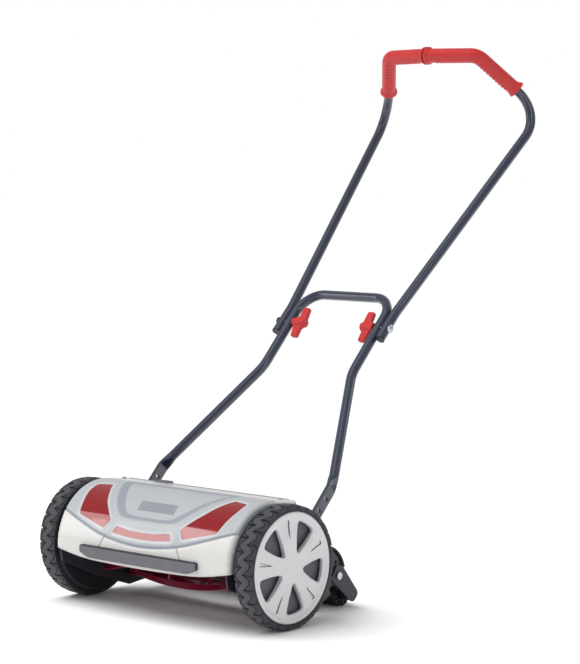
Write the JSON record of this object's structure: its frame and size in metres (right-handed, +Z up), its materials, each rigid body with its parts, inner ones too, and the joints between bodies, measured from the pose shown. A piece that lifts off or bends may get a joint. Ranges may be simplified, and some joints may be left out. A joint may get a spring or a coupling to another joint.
{
  "type": "reel mower",
  "caption": "Push reel mower: plastic hood over a helical blade reel geared to two ground wheels, with a rear roller and a two-part folding tube handle with grips.",
  "frame": {"origin": "on the ground, in the middle of the whole machine in length and width", "axes": "+Z up, -Y towards the front where the grass goes in, +Y towards the user, +X towards the right wheel seen from the front left"},
  "size_m": [0.506, 0.8862, 0.9867],
  "materials": {
    "plate_steel": "dark grey-violet powder coat on sheet steel",
    "zinc_steel": "zinc-plated steel",
    "hood_plastic": "silver-white moulded ABS, semi-gloss",
    "bumper_plastic": "soft dark grey plastic",
    "clip_plastic": "grey nylon",
    "black_plastic": "black polypropylene",
    "bearing_bronze": "sintered bronze",
    "reel_paint": "dark red enamel",
    "tyre_rubber": "dark grey rubber",
    "wheel_plastic": "dark grey moulded polypropylene",
    "wheel_silver": "silver lacquer on moulded plastic",
    "gear_steel": "machined steel",
    "handle_paint": "glossy blue-grey enamel",
    "grip_red": "matt coral-red soft plastic"
  },
  "bodies": {
    "frame": {"side_plate_left": "plate_steel", "side_plate_right": "plate_steel", "tie_rods": "zinc_steel", "hood": "hood_plastic", "bumper_strip": "bumper_plastic", "hood_screws": "zinc_steel", "handle_clip": "clip_plastic", "rear_guard": "black_plastic", "gear_cover_left": "black_plastic", "gear_cover_right": "black_plastic", "axle_left": "zinc_steel", "axle_right": "zinc_steel", "wheel_clips": "zinc_steel", "bearing_left": "bearing_bronze", "bearing_right": "bearing_bronze", "handle_bolts": "zinc_steel", "arm_bolts": "zinc_steel", "bed_pivot_screws": "zinc_steel"},
    "bed": {"bed_bar": "reel_paint", "bed_knife": "reel_paint", "knife_screws": "zinc_steel"},
    "wheel_left": {"tyre_left": "tyre_rubber", "wheel_body_left": "wheel_plastic", "wheel_cover_left": "wheel_silver"},
    "wheel_right": {"tyre_right": "tyre_rubber", "wheel_body_right": "wheel_plastic", "wheel_cover_right": "wheel_silver"},
    "pinion_left": {"pinion_left": "gear_steel"},
    "pinion_right": {"pinion_right": "gear_steel"},
    "reel": {"reel_shaft": "gear_steel", "reel_spiders": "reel_paint", "reel_blade_1": "reel_paint", "reel_blade_2": "reel_paint", "reel_blade_3": "reel_paint", "reel_blade_4": "reel_paint", "reel_blade_5": "reel_paint", "reel_clips": "zinc_steel"},
    "key_left": {"drive_key_left": "zinc_steel"},
    "key_right": {"drive_key_right": "zinc_steel"},
    "roller_carrier": {"roller_arm_left": "plate_steel", "roller_arm_right": "plate_steel", "roller_axle": "zinc_steel"},
    "roller": {"rear_roller": "black_plastic", "roller_cap_left": "black_plastic", "roller_cap_right": "black_plastic"},
    "lower_handle": {"lower_handle": "handle_paint"},
    "upper_handle": {"upper_handle": "handle_paint", "grip_left": "grip_red", "grip_right": "grip_red", "fold_bolts": "zinc_steel", "tube_plugs": "black_plastic"},
    "wing_nut_left": {"wing_nut_left": "grip_red"},
    "wing_nut_right": {"wing_nut_right": "grip_red"}
  },
  "joints": [
    {"name": "wheel_left_spin", "type": "hinge", "parent": "frame", "child": "wheel_left", "pos_m": [-0.234, -0.32412, 0.105], "axis": [1, 0, 0], "continuous": true},
    {"name": "wheel_right_spin", "type": "hinge", "parent": "frame", "child": "wheel_right", "pos_m": [0.234, -0.32412, 0.105], "axis": [1, 0, 0], "continuous": true},
    {"name": "pinion_left_spin", "type": "hinge", "parent": "frame", "child": "pinion_left", "pos_m": [-0.215, -0.29315, 0.0916], "axis": [1, 0, 0], "continuous": true},
    {"name": "pinion_right_spin", "type": "hinge", "parent": "frame", "child": "pinion_right", "pos_m": [0.215, -0.29315, 0.0916], "axis": [1, 0, 0], "continuous": true},
    {"name": "reel_spin", "type": "hinge", "parent": "frame", "child": "reel", "pos_m": [0, -0.29315, 0.0916], "axis": [1, 0, 0], "continuous": true},
    {"name": "key_left_slide", "type": "slide", "parent": "reel", "child": "key_left", "axis": [0, 0, 1], "range_m": [-0.0013, 0.0013]},
    {"name": "key_right_slide", "type": "slide", "parent": "reel", "child": "key_right", "axis": [0, 0, 1], "range_m": [-0.0013, 0.0013]},
    {"name": "bed_adjust", "type": "hinge", "parent": "frame", "child": "bed", "pos_m": [0, -0.24849, 0.03784], "axis": [1, 0, 0], "range_deg": [0, 3]},
    {"name": "height_adjust", "type": "hinge", "parent": "frame", "child": "roller_carrier", "pos_m": [0, -0.15012, 0.062], "axis": [1, 0, 0], "range_deg": [-10, 14]},
    {"name": "roller_spin", "type": "hinge", "parent": "roller_carrier", "child": "roller", "pos_m": [0, -0.10912, 0.0206], "axis": [1, 0, 0], "continuous": true},
    {"name": "handle_pivot", "type": "hinge", "parent": "frame", "child": "lower_handle", "pos_m": [0, -0.22232, 0.1607], "axis": [1, 0, 0], "range_deg": [-30, 40]},
    {"name": "handle_fold", "type": "hinge", "parent": "lower_handle", "child": "upper_handle", "pos_m": [0, 0.07175, 0.47167], "axis": [1, 0, 0], "range_deg": [-90, 125]},
    {"name": "wing_nut_left_turn", "type": "hinge", "parent": "upper_handle", "child": "wing_nut_left", "pos_m": [-0.08, 0.07175, 0.47167], "axis": [1, 0, 0], "range_deg": [0, 360]},
    {"name": "wing_nut_right_turn", "type": "hinge", "parent": "upper_handle", "child": "wing_nut_right", "pos_m": [0.08, 0.07175, 0.47167], "axis": [1, 0, 0], "range_deg": [0, 360]}
  ],
  "couplings": [
    {"joint": "pinion_left_spin", "follows": "wheel_left_spin", "ratio": 4},
    {"joint": "pinion_right_spin", "follows": "wheel_right_spin", "ratio": 4},
    {"joint": "reel_spin", "follows": "wheel_right_spin", "ratio": 4}
  ]
}
